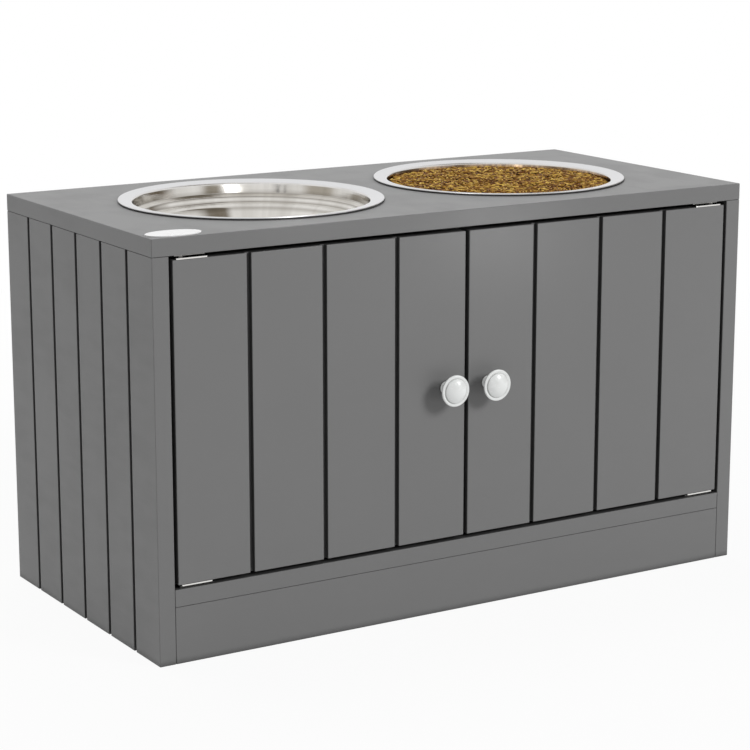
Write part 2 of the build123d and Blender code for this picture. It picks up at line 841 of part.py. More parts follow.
def bowl_wall(shift):
    """Inner outline below the mouth, as radius and height, moved inwards and up by shift."""
    corners = (
        (bowl_ring_outer_radius, bowl_ring_depth),
        (bowl_ring_inner_radius, bowl_ring_depth + bowl_ring_drop),
        (bowl_step_radius, bowl_step_depth),
        (bowl_step_radius - bowl_step_width, bowl_step_depth + bowl_step_drop),
        (bowl_floor_radius, bowl_depth),
    )
    return [(radius - shift, bowl_rim_top_z - depth + shift) for radius, depth in corners]


def profile_plane(center_x):
    """Upright plane through a bowl's axis: its X is the radius and its Y the height."""
    return Plane(origin=(center_x, middle_y, 0), x_dir=(1, 0, 0), z_dir=(0, -1, 0))


def bowl_axis(center_x):
    return Axis((center_x, middle_y, 0), (0, 0, 1))


for side, sign in sides:
    center_x = sign * bowl_spacing / 2
    with BuildPart() as bowl:
        with BuildSketch(profile_plane(center_x)):
            with BuildLine():
                inner_line = FilletPolyline(
                    (bowl_rim_radius - bowl_rim_tuck, cabinet_height),
                    (bowl_rim_radius, cabinet_height + bowl_rim_tuck_height),
                    (bowl_rim_radius, bowl_rim_top_z),
                    (bowl_mouth_radius, bowl_rim_top_z - bowl_flange_drop),
                    *bowl_wall(0),
                    (0, bowl_rim_top_z - bowl_depth),
                    radius=(bowl_rim_tuck_bend, bowl_rim_bend, bowl_mouth_bend, *bowl_bends),
                )
                offset(inner_line, bowl_sheet, side=Side.LEFT)
            make_face()
        revolve(axis=bowl_axis(center_x))
    save(bowl.part, f"{side}_bowl")

food_top_z = bowl_rim_top_z - food_level_below_rim
food_edge_share = (food_level_below_rim - bowl_flange_drop) / (bowl_ring_depth - bowl_flange_drop)
food_edge_radius = bowl_mouth_radius - bowl_wall_taper * food_edge_share - food_clearance
with BuildPart() as food_mound:
    with BuildSketch(Plane.XZ):
        with BuildLine():
            TangentArc((0, food_mound_height), (food_mound_radius, 0), tangent=(1, 0))
            Polyline(
                (food_mound_radius, 0),
                (food_mound_radius, -food_mound_root),
                (0, -food_mound_root),
                (0, food_mound_height),
            )
        make_face()
    revolve(axis=Axis.Z)

with BuildPart() as dog_food:
    with BuildSketch(profile_plane(bowl_spacing / 2)):
        with BuildLine():
            FilletPolyline(
                (food_edge_radius, food_top_z),
                *bowl_wall(food_clearance),
                (0, bowl_rim_top_z - bowl_depth + food_clearance),
                radius=bowl_bends,
            )
            Polyline(
                (0, bowl_rim_top_z - bowl_depth + food_clearance),
                (0, food_top_z),
                (food_edge_radius, food_top_z),
            )
        make_face()
    revolve(axis=bowl_axis(bowl_spacing / 2))
    with Locations((bowl_spacing / 2, middle_y, food_top_z)):
        add(food_mound.part)
        for ring_radius, mound_count in food_mound_rings:
            with PolarLocations(ring_radius, mound_count):
                add(food_mound.part)
save(dog_food.part, "dog_food")

# Badge on the front left corner of the top panel
badge_center = (badge_from_side - cabinet_width / 2, front_y + badge_from_front)
with BuildPart() as badge:
    with BuildSketch(Plane.XY.offset(cabinet_height)):
        with Locations(badge_center):
            Ellipse(badge_length / 2, badge_width / 2)
    extrude(amount=badge_thickness)
    fillet(badge.edges().group_by(Axis.Z)[-1], badge_round)
save(badge.part, "badge")
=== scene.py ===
import json
import math
import random

import bpy
import numpy as np
from mathutils import Euler, Matrix, Vector


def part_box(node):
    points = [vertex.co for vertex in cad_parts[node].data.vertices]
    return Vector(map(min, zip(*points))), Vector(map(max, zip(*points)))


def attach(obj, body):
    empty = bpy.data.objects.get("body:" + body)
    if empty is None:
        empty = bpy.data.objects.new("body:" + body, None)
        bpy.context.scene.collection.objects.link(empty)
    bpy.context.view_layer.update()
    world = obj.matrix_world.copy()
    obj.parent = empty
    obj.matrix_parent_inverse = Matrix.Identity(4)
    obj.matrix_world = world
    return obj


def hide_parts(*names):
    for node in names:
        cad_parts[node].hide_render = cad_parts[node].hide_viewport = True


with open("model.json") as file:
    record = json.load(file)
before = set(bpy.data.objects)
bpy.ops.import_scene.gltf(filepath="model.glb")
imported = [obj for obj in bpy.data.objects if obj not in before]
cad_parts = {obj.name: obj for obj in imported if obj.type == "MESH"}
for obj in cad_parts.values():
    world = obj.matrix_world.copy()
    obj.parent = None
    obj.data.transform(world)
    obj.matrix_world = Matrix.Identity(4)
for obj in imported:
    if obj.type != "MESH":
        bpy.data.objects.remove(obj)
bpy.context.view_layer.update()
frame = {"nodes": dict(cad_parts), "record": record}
cadNodes = frame["nodes"]

mm = 0.001


# Helpers for node trees

def addNode(tree, kind, inputs=None, **settings):
    node = tree.nodes.new("ShaderNode" + kind)
    for name, value in settings.items():
        setattr(node, name, value)
    for name, value in (inputs or {}).items():
        setInput(tree, node.inputs[name], value)
    return node


def setInput(tree, socket, value):
    if isinstance(value, bpy.types.NodeSocket):
        tree.links.new(value, socket)
    elif socket.type == "RGBA":
        socket.default_value = (*value[:3], 1)
    else:
        socket.default_value = value


def doMath(tree, operation, first, second=0.0, clamp=False):
    node = addNode(tree, "Math", {0: first, 1: second}, operation=operation, use_clamp=clamp)
    return node.outputs[0]


def remap(tree, value, fromLow, fromHigh, toLow, toHigh):
    limits = {"Value": value, "From Min": fromLow, "From Max": fromHigh, "To Min": toLow, "To Max": toHigh}
    return addNode(tree, "MapRange", limits).outputs["Result"]


def mixColor(tree, factor, first, second):
    node = addNode(tree, "Mix", data_type="RGBA")
    for index, value in ((0, factor), (6, first), (7, second)):  # the sockets of a colour mix
        setInput(tree, node.inputs[index], value)
    return node.outputs[2]


def noise(tree, vector, scale, detail=3.0):
    return addNode(tree, "TexNoise", {"Vector": vector, "Scale": scale, "Detail": detail}).outputs["Fac"]


def lineNoise(tree, along, detail=3.0):
    node = addNode(tree, "TexNoise", {"Scale": 1.0, "Detail": detail}, noise_dimensions="1D")
    tree.links.new(along, node.inputs["W"])
    return node.outputs["Fac"]


def objectPlace(tree):
    return addNode(tree, "TexCoord").outputs["Object"]


def stretched(tree, vector, scales):
    return addNode(tree, "VectorMath", {0: vector, 1: scales}, operation="MULTIPLY").outputs["Vector"]


def startGroup(name, inputs, outputs):
    group = bpy.data.node_groups.new(name, "ShaderNodeTree")
    for label, kind in inputs.items():
        group.interface.new_socket(label, in_out="INPUT", socket_type="NodeSocket" + kind)
    for label in outputs:
        group.interface.new_socket(label, in_out="OUTPUT", socket_type="NodeSocketFloat")
    given = group.nodes.new("NodeGroupInput")
    result = group.nodes.new("NodeGroupOutput")
    return group, given.outputs, result.inputs


def useGroup(tree, group, **values):
    node = tree.nodes.new("ShaderNodeGroup")
    node.node_tree = group
    for name, value in values.items():
        setInput(tree, node.inputs[name], value)
    return node.outputs


def startMaterial(name, **constants):
    material = bpy.data.materials.new(name)
    material.use_nodes = True
    shader = material.node_tree.nodes["Principled BSDF"]
    for label, value in constants.items():
        shader.inputs[label.replace("_", " ")].default_value = value
    return material, material.node_tree, shader


def finishMaterial(tree, shader, color, roughness, height, bumpDepth):
    tree.links.new(color, shader.inputs["Base Color"])
    tree.links.new(roughness, shader.inputs["Roughness"])
    bump = addNode(tree, "Bump", {"Strength": 1.0, "Distance": bumpDepth, "Height": height})
    tree.links.new(bump.outputs["Normal"], shader.inputs["Normal"])


def grey(level):
    return (level, level, level)


# Effects that several materials share

skinRelief = {"detail": 2.0, "broadScale": 0.12, "broadShare": 0.5, "mottleDetail": 5.0}


def makeSkinGroup():
    inputs = {"Grain": "Float", "Patch": "Float"}
    group, given, result = startGroup("fineSkin", inputs, ["Height", "Mottle"])
    place = objectPlace(group)
    broadScale = doMath(group, "MULTIPLY", given["Grain"], skinRelief["broadScale"])
    fine = noise(group, place, given["Grain"], skinRelief["detail"])
    broad = noise(group, place, broadScale, skinRelief["detail"])
    broad = doMath(group, "MULTIPLY", broad, skinRelief["broadShare"])
    group.links.new(doMath(group, "ADD", fine, broad), result["Height"])
    group.links.new(noise(group, place, given["Patch"], skinRelief["mottleDetail"]), result["Mottle"])
    return group


edgeShape = {
    "samples": 6,
    "fullAt": 0.86,  # of the bevelled normal against the flat one, where an edge gets its full wear and painted highlight
    "breaks": (0.42, 0.62, 0.15, 1.0),  # two levels of the noise and the share of the wear and painted highlight at each
    "breakDetail": 4.0,
}


# Mask of the rounded edges, lighter partly from wear and partly as a painted highlight
def makeEdgeGroup():
    group, given, result = startGroup("edgeWearAndHighlight", {"Reach": "Float", "Breakup": "Float"}, ["Mask"])
    bevel = addNode(group, "Bevel", {"Radius": given["Reach"]}, samples=edgeShape["samples"])
    rounded = bevel.outputs["Normal"]
    flat = addNode(group, "NewGeometry").outputs["Normal"]
    facing = addNode(group, "VectorMath", {0: rounded, 1: flat}, operation="DOT_PRODUCT").outputs["Value"]
    edge = remap(group, facing, 1.0, edgeShape["fullAt"], 0.0, 1.0)
    patches = noise(group, objectPlace(group), given["Breakup"], edgeShape["breakDetail"])
    broken = remap(group, patches, *edgeShape["breaks"])
    group.links.new(doMath(group, "MULTIPLY", edge, broken, clamp=True), result["Mask"])
    return group


# how open a place is where its shade begins, and where the shade is full on most finishes
creviceShape = {"samples": 8, "openAt": 0.86, "shut": 0.45}


# Ambient-occlusion mask for the painted shade that several finishes put in hollows, gaps and seams
def makeCreviceGroup():
    group, given, result = startGroup("creviceShade", {"Reach": "Float", "Shut": "Float"}, ["Mask"])
    occlusion = addNode(group, "AmbientOcclusion", {"Distance": given["Reach"]})
    occlusion.samples = creviceShape["samples"]
    hollowShade = remap(group, occlusion.outputs["AO"], creviceShape["openAt"], given["Shut"], 0.0, 1.0)
    group.links.new(hollowShade, result["Mask"])
    return group


smudgeShape = {"detail": 5.0, "stretch": (1.0, 0.6, 2.4), "streakScale": 2.5, "marks": (0.2, 0.36)}


def makeSmudgeGroup():
    group, given, result = startGroup("handSmudges", {"Scale": "Float"}, ["Mask"])
    place = objectPlace(group)
    cloud = noise(group, place, given["Scale"], smudgeShape["detail"])
    streakScale = doMath(group, "MULTIPLY", given["Scale"], smudgeShape["streakScale"])
    streak = noise(group, stretched(group, place, smudgeShape["stretch"]), streakScale)
    marks = doMath(group, "MULTIPLY", cloud, streak)
    group.links.new(remap(group, marks, *smudgeShape["marks"], 0.0, 1.0), result["Mask"])
    return group


spinShape = {
    "rippleScale": 3.2,
    "rippleDetail": 1.0,
    "streakDetail": 5.0,
    "turnOver": 0.2,  # how far a wall leans from upright where inside turns to outside
}


def makeSpinGroup():
    group, given, result = startGroup(
        "spunMetal",
        {"Center": "Vector", "Lines": "Float", "Streak": "Float"},
        ["Rings", "Ripples", "Streaks", "Radius", "Inside"],
    )
    place = addNode(group, "VectorMath", {0: objectPlace(group), 1: given["Center"]}, operation="SUBTRACT")
    parts = addNode(group, "SeparateXYZ", {0: place.outputs["Vector"]}).outputs
    flat = addNode(group, "CombineXYZ", {"X": parts["X"], "Y": parts["Y"]}).outputs["Vector"]
    radius = addNode(group, "VectorMath", {0: flat}, operation="LENGTH").outputs["Value"]
    around = addNode(group, "VectorMath", {0: flat}, operation="NORMALIZE").outputs["Vector"]
    along = doMath(group, "SUBTRACT", radius, parts["Z"])
    group.links.new(lineNoise(group, doMath(group, "MULTIPLY", along, given["Lines"])), result["Rings"])
    ripples = noise(group, around, spinShape["rippleScale"], spinShape["rippleDetail"])
    group.links.new(ripples, result["Ripples"])
    group.links.new(noise(group, around, given["Streak"], spinShape["streakDetail"]), result["Streaks"])
    group.links.new(radius, result["Radius"])
    facing = addNode(group, "TexCoord").outputs["Normal"]
    outward = addNode(group, "VectorMath", {0: facing, 1: around}, operation="DOT_PRODUCT").outputs["Value"]
    inside = remap(group, outward, -spinShape["turnOver"], spinShape["turnOver"], 1.0, 0.0)
    group.links.new(inside, result["Inside"])
    return group


fibreShape = {"bendScale": 30.0, "fineDetail": 6.0, "broadScale": 0.2, "broadDetail": 4.0}


def makeFibreGroup():
    inputs = {"Stretch": "Vector", "Scale": "Float"}
    group, given, result = startGroup("woodFibre", inputs, ["Grain", "Height"])
    place = stretched(group, objectPlace(group), given["Stretch"])
    bend = addNode(group, "TexNoise", {"Vector": place, "Scale": fibreShape["bendScale"]}).outputs["Color"]
    bent = addNode(group, "VectorMath", {0: place, 1: bend}, operation="ADD").outputs["Vector"]
    broadScale = doMath(group, "MULTIPLY", given["Scale"], fibreShape["broadScale"])
    group.links.new(noise(group, place, given["Scale"], fibreShape["fineDetail"]), result["Height"])
    group.links.new(noise(group, bent, broadScale, fibreShape["broadDetail"]), result["Grain"])
    return group


fineSkin = makeSkinGroup()
edgeWearAndHighlight = makeEdgeGroup()
creviceShade = makeCreviceGroup()
handSmudges = makeSmudgeGroup()
spunMetal = makeSpinGroup()
woodFibre = makeFibreGroup()

# Finishes of the CAD pieces

paint = {
    "dark": grey(0.180),
    "light": grey(0.190),
    # lighter edges: partly wear, partly a painted highlight along the rounding
    "wornAndLit": grey(0.26),
    "wearAndHighlight": 0.3,
    "edgeReach": 0.8 * mm,
    "edgeBreakup": 120.0,
    # painted shade in the door grooves, the gaps and the board seams: its colour, share and reaches
    "creviceShadeColor": grey(0.012),
    "creviceShadeShare": 0.72,
    "grooveReach": 9.0 * mm,
    "seamReach": 1.5 * mm,
    "seamShut": 0.6,
    "grain": 1100.0,
    "patch": 7.0,
    "smudge": 16.0,
    "ior": 1.48,
    "roughness": (0.45, 0.51),
    "bump": 0.02 * mm,
}


def makePaint():
    material, tree, shader = startMaterial("greyPaint", IOR=paint["ior"])
    skin = useGroup(tree, fineSkin, Grain=paint["grain"], Patch=paint["patch"])
    color = mixColor(tree, skin["Mottle"], paint["dark"], paint["light"])
    # edges made lighter, partly as wear and partly as a painted highlight
    edge = useGroup(tree, edgeWearAndHighlight, Reach=paint["edgeReach"], Breakup=paint["edgeBreakup"])["Mask"]
    wornAndLit = doMath(tree, "MULTIPLY", edge, paint["wearAndHighlight"])
    color = mixColor(tree, wornAndLit, color, paint["wornAndLit"])
    # painted shade in the door grooves, the gaps and the board seams
    hollowShade = useGroup(tree, creviceShade, Reach=paint["grooveReach"], Shut=creviceShape["shut"])["Mask"]
    seamShade = useGroup(tree, creviceShade, Reach=paint["seamReach"], Shut=paint["seamShut"])["Mask"]
    grooveShade = doMath(tree, "MULTIPLY", doMath(tree, "MAXIMUM", hollowShade, seamShade), paint["creviceShadeShare"])
    color = mixColor(tree, grooveShade, color, paint["creviceShadeColor"])
    smudge = useGroup(tree, handSmudges, Scale=paint["smudge"])["Mask"]
    roughness = remap(tree, smudge, 0.0, 1.0, *paint["roughness"])
    finishMaterial(tree, shader, color, roughness, skin["Height"], paint["bump"])
    return material


hardboard = {
    "dark": grey(0.165),
    "light": grey(0.205),
    "fibres": 420.0,
    "stretch": (1.0, 1.0, 0.35),
    "grainRange": (0.3, 0.7),
    "roughness": (0.55, 0.72),
    "bump": 0.10 * mm,
}


def makeHardboard():
    material, tree, shader = startMaterial("backBoard")
    fibre = useGroup(tree, woodFibre, Stretch=hardboard["stretch"], Scale=hardboard["fibres"])
    color = mixColor(tree, fibre["Grain"], hardboard["dark"], hardboard["light"])
    roughness = remap(tree, fibre["Grain"], *hardboard["grainRange"], *hardboard["roughness"])
    finishMaterial(tree, shader, color, roughness, fibre["Height"], hardboard["bump"])
    return material


steel = {
    "rim": (0.70, 0.70, 0.71),
    "rimFrom": (103.6 * mm, 105.2 * mm),
    "bright": (0.71, 0.69, 0.655),
    "drawnAndReflected": (0.36, 0.335, 0.295),  # darker streaks, partly left by the deep drawing and partly painted reflections
    "drawnAndReflectedShare": 0.46,
    "drawnAndReflectedFrom": (0.40, 0.70),
    "calmCenter": (22.0 * mm, 80.0 * mm),  # streaks and ripples grow from none to full between these radii
    "bendShade": (0.22, 0.20, 0.17),
    # inner radius, outer radius and strength of the painted shade line at each bend
    "bendShades": ((101.6, 103.3, 0.65), (97.0, 98.6, 0.85), (94.8, 96.6, 0.75), (86.0, 90.5, 0.5)),
    "foodDust": ((0.17, 0.085, 0.025), (0.42, 0.27, 0.12)),  # crumbs and grease on the wall above the food
    "dustSpots": 260.0,
    "dustDetail": 3.0,
    "dustBreaks": (0.38, 0.62),
    "dustFrom": 3.9 * mm,
    "dustTo": 2.7 * mm,
    "dustAndShadeShare": 0.92,
    "rimRoughness": 0.30,
    "bowlRoughness": 0.09,
    "smudge": 22.0,
    "smudgeShare": 0.05,
    "ringShare": 0.04,
    "streak": 5.0,
    "lines": 2600.0,
    "ringBump": 0.006 * mm,
    "rippleBump": 0.5 * mm,
}


def bendShadeMask(tree, radius):
    mask = 0.0
    for inner, outer, share in steel["bendShades"]:
        middle, half = (inner + outer) / 2 * mm, (outer - inner) / 2 * mm
        away = doMath(tree, "ABSOLUTE", doMath(tree, "SUBTRACT", radius, middle))
        mask = doMath(tree, "MAXIMUM", remap(tree, away, 0.0, half, share, 0.0), mask)
    return mask


def makeSteel(node):
    low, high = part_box(node)
    center = ((low.x + high.x) / 2, (low.y + high.y) / 2, high.z)
    material, tree, shader = startMaterial("stainlessSteel_" + node, Metallic=1.0)
    spun = useGroup(tree, spunMetal, Center=center, Lines=steel["lines"], Streak=steel["streak"])
    onRim = remap(tree, spun["Radius"], *steel["rimFrom"], 0.0, 1.0)
    smudge = useGroup(tree, handSmudges, Scale=steel["smudge"])["Mask"]
    smudged = doMath(tree, "MULTIPLY", smudge, steel["smudgeShare"])
    inBowlRoughness = doMath(tree, "ADD", steel["bowlRoughness"], smudged)
    roughness = remap(tree, onRim, 0.0, 1.0, inBowlRoughness, steel["rimRoughness"])
    roughness = doMath(tree, "ADD", roughness, doMath(tree, "MULTIPLY", spun["Rings"], steel["ringShare"]))
    offCenter = remap(tree, spun["Radius"], *steel["calmCenter"], 0.0, 1.0)
    # darker streaks around the bowl: partly drawing marks, partly painted reflections
    drawnAndReflected = remap(tree, spun["Streaks"], *steel["drawnAndReflectedFrom"], 0.0, steel["drawnAndReflectedShare"])
    drawnAndReflected = doMath(tree, "MULTIPLY", drawnAndReflected, offCenter)
    color = mixColor(tree, drawnAndReflected, steel["bright"], steel["drawnAndReflected"])
    # painted shade lines along the bends of the bowl
    color = mixColor(tree, bendShadeMask(tree, spun["Radius"]), color, steel["bendShade"])
    if node == "right_bowl":
        rise = addNode(tree, "SeparateXYZ", {0: objectPlace(tree)}).outputs["Z"]
        dustLow, dustHigh = high.z - steel["dustFrom"], high.z - steel["dustTo"]
        dusty = remap(tree, rise, dustLow, dustHigh, steel["dustAndShadeShare"], 0.0)
        dusty = doMath(tree, "MULTIPLY", dusty, spun["Inside"])
        crumbs = noise(tree, objectPlace(tree), steel["dustSpots"], steel["dustDetail"])
        crumbs = remap(tree, crumbs, *steel["dustBreaks"], 0.0, 1.0)
        color = mixColor(tree, dusty, color, mixColor(tree, crumbs, *steel["foodDust"]))
    color = mixColor(tree, onRim, color, steel["rim"])
    ringHeight = doMath(tree, "MULTIPLY", spun["Rings"], steel["ringBump"] / steel["rippleBump"])
    inBowl = doMath(tree, "MULTIPLY", doMath(tree, "SUBTRACT", 1.0, onRim), offCenter)
    rippleHeight = doMath(tree, "MULTIPLY", spun["Ripples"], inBowl)
    height = doMath(tree, "ADD", ringHeight, rippleHeight)
    finishMaterial(tree, shader, color, roughness, height, steel["rippleBump"])
    return material


knobGloss = {
    "white": (0.865, 0.88, 0.87),
    "cream": (0.835, 0.85, 0.84),
    # painted shade in the knob's ring groove and round its neck: colour, share and reach
    "knobShade": (0.34, 0.33, 0.32),
    "dustAndShadeShare": 0.5,
    "shadeReach": 1.6 * mm,
    "grain": 260.0,
    "patch": 40.0,
    "smudge": 90.0,
    "roughness": (0.18, 0.30),
    "coat": 0.9,
    "coatRoughness": 0.06,
    "bump": 0.05 * mm,
}


def makeKnobGloss():
    material, tree, shader = startMaterial(
        "whiteKnob", Coat_Weight=knobGloss["coat"], Coat_Roughness=knobGloss["coatRoughness"]
    )
    skin = useGroup(tree, fineSkin, Grain=knobGloss["grain"], Patch=knobGloss["patch"])
    # painted shade in the ring groove and round the neck
    hollowShade = useGroup(tree, creviceShade, Reach=knobGloss["shadeReach"], Shut=creviceShape["shut"])["Mask"]
    knobShade = doMath(tree, "MULTIPLY", hollowShade, knobGloss["dustAndShadeShare"])
    color = mixColor(tree, skin["Mottle"], knobGloss["white"], knobGloss["cream"])
    color = mixColor(tree, knobShade, color, knobGloss["knobShade"])
    smudge = useGroup(tree, handSmudges, Scale=knobGloss["smudge"])["Mask"]
    roughness = remap(tree, smudge, 0.0, 1.0, *knobGloss["roughness"])
    finishMaterial(tree, shader, color, roughness, skin["Height"], knobGloss["bump"])
    return material


badgeGloss = {
    "white": (0.84, 0.84, 0.84),
    "shade": (0.78, 0.78, 0.78),
    "grain": 500.0,
    "patch": 60.0,
    "smudge": 60.0,
    "roughness": (0.16, 0.28),
    "coat": 0.3,
    "bump": 0.02 * mm,
}


def makeBadgeGloss():
    material, tree, shader = startMaterial("whiteBadge", Coat_Weight=badgeGloss["coat"])
    skin = useGroup(tree, fineSkin, Grain=badgeGloss["grain"], Patch=badgeGloss["patch"])
    color = mixColor(tree, skin["Mottle"], badgeGloss["white"], badgeGloss["shade"])
    smudge = useGroup(tree, handSmudges, Scale=badgeGloss["smudge"])["Mask"]
    roughness = remap(tree, smudge, 0.0, 1.0, *badgeGloss["roughness"])
    finishMaterial(tree, shader, color, roughness, skin["Height"], badgeGloss["bump"])
    return material


# Base colours at both ends of the mottle, roughness range, grain per metre and depth of the relief
smallMetals = {
    "zincPlate": ((0.62, 0.64, 0.67), (0.68, 0.66, 0.60), (0.22, 0.38), 1500.0, 0.02 * mm),
    "zincCast": ((0.42, 0.42, 0.43), (0.54, 0.54, 0.53), (0.38, 0.55), 2200.0, 0.08 * mm),
    "hingeSteel": ((0.78, 0.77, 0.75), (0.70, 0.69, 0.67), (0.14, 0.30), 1900.0, 0.012 * mm),
}

metalBrush = {"stretch": (60.0, 900.0, 900.0), "scale": 3.0, "detail": 4.0, "fullAt": 0.7}
metalMarks = {"patch": 180.0, "smudge": 150.0}
# painted shade on small metal parts in narrow gaps: reach, share and colour
metalCreviceShade = {"reach": 2.5 * mm, "share": 0.9, "color": grey(0.02)}


def makeSmallMetal(name):
    first, second, roughness, grain, depth = smallMetals[name]
    material, tree, shader = startMaterial(name, Metallic=1.0)
    skin = useGroup(tree, fineSkin, Grain=grain, Patch=metalMarks["patch"])
    lines = stretched(tree, objectPlace(tree), metalBrush["stretch"])
    brushed = noise(tree, lines, metalBrush["scale"], metalBrush["detail"])
    color = mixColor(tree, skin["Mottle"], first, second)
    # painted shade in narrow gaps
    hollowShade = useGroup(tree, creviceShade, Reach=metalCreviceShade["reach"], Shut=creviceShape["shut"])["Mask"]
    shaded = doMath(tree, "MULTIPLY", hollowShade, metalCreviceShade["share"])
    color = mixColor(tree, shaded, color, metalCreviceShade["color"])
    smudge = useGroup(tree, handSmudges, Scale=metalMarks["smudge"])["Mask"]
    spread = doMath(tree, "MULTIPLY", brushed, smudge)
    rough = remap(tree, spread, 0.0, metalBrush["fullAt"], *roughness)
    height = doMath(tree, "ADD", skin["Height"], brushed)
    finishMaterial(tree, shader, color, rough, height, depth)
    return material


# Base colours at both ends of the mottle, roughness range, grain per metre and depth of the relief
smallSolids = {
    "whitePlastic": ((0.74, 0.74, 0.72), (0.68, 0.68, 0.66), (0.38, 0.52), 1600.0, 0.04 * mm),
    "magnet": ((0.035, 0.035, 0.04), (0.08, 0.078, 0.075), (0.45, 0.68), 2400.0, 0.10 * mm),
}
smallMarks = {"patch": 240.0, "smudge": 120.0}
# painted shade on the catch and magnets in narrow places: reach, share and colour
smallCreviceShade = {"reach": 12.0 * mm, "share": 0.95, "color": grey(0.015)}


def makeSmallSolid(name):
    first, second, roughness, grain, depth = smallSolids[name]
    material, tree, shader = startMaterial(name)
    skin = useGroup(tree, fineSkin, Grain=grain, Patch=smallMarks["patch"])
    color = mixColor(tree, skin["Mottle"], first, second)
    # painted shade in narrow places
    hollowShade = useGroup(tree, creviceShade, Reach=smallCreviceShade["reach"], Shut=creviceShape["shut"])["Mask"]
    shaded = doMath(tree, "MULTIPLY", hollowShade, smallCreviceShade["share"])
    color = mixColor(tree, shaded, color, smallCreviceShade["color"])
    smudge = useGroup(tree, handSmudges, Scale=smallMarks["smudge"])["Mask"]
    rough = remap(tree, smudge, 0.0, 1.0, *roughness)
    finishMaterial(tree, shader, color, rough, skin["Height"], depth)
    return material


beech = {
    "dark": (0.46, 0.29, 0.15),
    "light": (0.66, 0.47, 0.29),
    "fibres": 900.0,
    "stretch": (1.0, 1.0, 0.2),
    "fibreRange": (0.3, 0.7),
    "roughness": (0.5, 0.68),
    "bump": 0.12 * mm,
}


def makeBeech():
    material, tree, shader = startMaterial("dowelWood")
    fibre = useGroup(tree, woodFibre, Stretch=beech["stretch"], Scale=beech["fibres"])
    color = mixColor(tree, fibre["Grain"], beech["dark"], beech["light"])
    rough = remap(tree, fibre["Height"], *beech["fibreRange"], *beech["roughness"])
    finishMaterial(tree, shader, color, rough, fibre["Height"], beech["bump"])
    return material


slotFinish = {
    "grey_paint": makePaint(),
    "back_board": makeHardboard(),
    "white_knob": makeKnobGloss(),
    "white_plastic": makeSmallSolid("whitePlastic"),
    "magnet": makeSmallSolid("magnet"),
    "zinc_plate": makeSmallMetal("zincPlate"),
    "zinc_cast": makeSmallMetal("zincCast"),
    "hinge_steel": makeSmallMetal("hingeSteel"),
    "dowel_wood": makeBeech(),
    "white_badge": makeBadgeGloss(),
}
for part in frame["record"]["subparts"]:
    node, slotName = part["node"], part["material_slot"]
    if slotName in ("dry_food", "stainless_steel"):
        continue  # the bowls and the food are built further down
    for materialSlot in cadNodes[node].material_slots:
        materialSlot.material = slotFinish[slotName]
print("finishes: set on the CAD nodes")


def meshPiece(name, points, faces, finish):
    mesh = bpy.data.meshes.new(name)
    mesh.from_pydata(points, [], faces)
    mesh.materials.append(finish)
    mesh.shade_smooth()
    piece = bpy.data.objects.new(name, mesh)
    bpy.context.scene.collection.objects.link(piece)
    return piece


# Turned pieces, as fine as their reflections need

bendSteps = 9
axisReach = 0.01  # a corner nearer to the axis than this many mm is a point on it


def leftOf(run):
    return Vector((-run.y, run.x)).normalized()


def cornerSides(corners, number):
    sides = [leftOf(there - here) for here, there in zip(corners, corners[1:])]
    return sides[max(number - 1, 0)], sides[min(number, len(sides) - 1)]


def shiftCorners(corners, bends, sheet):  # to the other face of the sheet
    moved, changed = [], []
    for number, corner in enumerate(corners):
        before, after = cornerSides(corners, number)
        middle = (before + after).normalized()
        moved.append(corner + middle * sheet / middle.dot(before))
        growth = -sheet if before.cross(after) > 0 else sheet
        changed.append(max(bends[number] + growth, 0) if bends[number] else 0)
    return moved, changed


def roundCorners(corners, bends):
    outline = []  # points and the directions in which they face
    for number, (corner, bend) in enumerate(zip(corners, bends)):
        before, after = cornerSides(corners, number)
        if bend == 0:
            outline.append((corner, -(before + after).normalized()))
            continue
        side = 1 if before.cross(after) > 0 else -1
        middle = (before + after).normalized()
        center = corner + middle * side * bend / middle.dot(before)
        for step in range(bendSteps + 1):
            facing = -before.slerp(after, step / bendSteps)
            outline.append((center + facing * side * bend, facing))
    return outline


def readProfile(profile):
    corners = [Vector((radius, along)) for radius, along, bend in profile]
    return corners, [bend for radius, along, bend in profile]


def turnPiece(name, outline, middle, axis, sides, finish):
    first = Vector((1, 0, 0))
    second = axis.cross(first)
    points, normals, rings, faces = [], [], [], []
    for point, facing in outline:
        count = sides if point.x > axisReach else 1
        rings.append(range(len(points), len(points) + count))
        for side in range(count):
            turn = 2 * math.pi * side / count
            out = first * math.cos(turn) + second * math.sin(turn)
            points.append(middle + (out * point.x + axis * point.y) * mm)
            normals.append(out * facing.x + axis * facing.y)
    for here, there in zip(rings, rings[1:] + rings[:1]):
        for side in range(sides):
            steps = ((here, side), (here, side + 1), (there, side + 1), (there, side))
            corners = list(dict.fromkeys(ring[step % len(ring)] for ring, step in steps))
            if len(corners) > 2:
                faces.append(corners)
    piece = meshPiece(name, points, faces, finish)
    piece.data.normals_split_custom_set_from_vertices(normals)
    print("turned:", name, len(faces), "faces")
    return piece


bowl = {
    # radius and height over the top board of each corner, and the radius of its bend
    "profile": (
        (115.2, 0.0, 0.0),
        (116.5, 1.3, 0.6),
        (116.5, 2.6, 0.9),
        (104.2, 0.7, 2.5),
        (102.7, -9.0, 1.2),
        (97.7, -11.5, 1.2),
        (95.7, -16.4, 2.0),
        (89.2, -19.4, 5.0),
        (66.0, -49.4, 26.0),
        (0.0, -49.4, 0.0),
    ),
    "sheet": 0.8,
    "sides": 256,
}


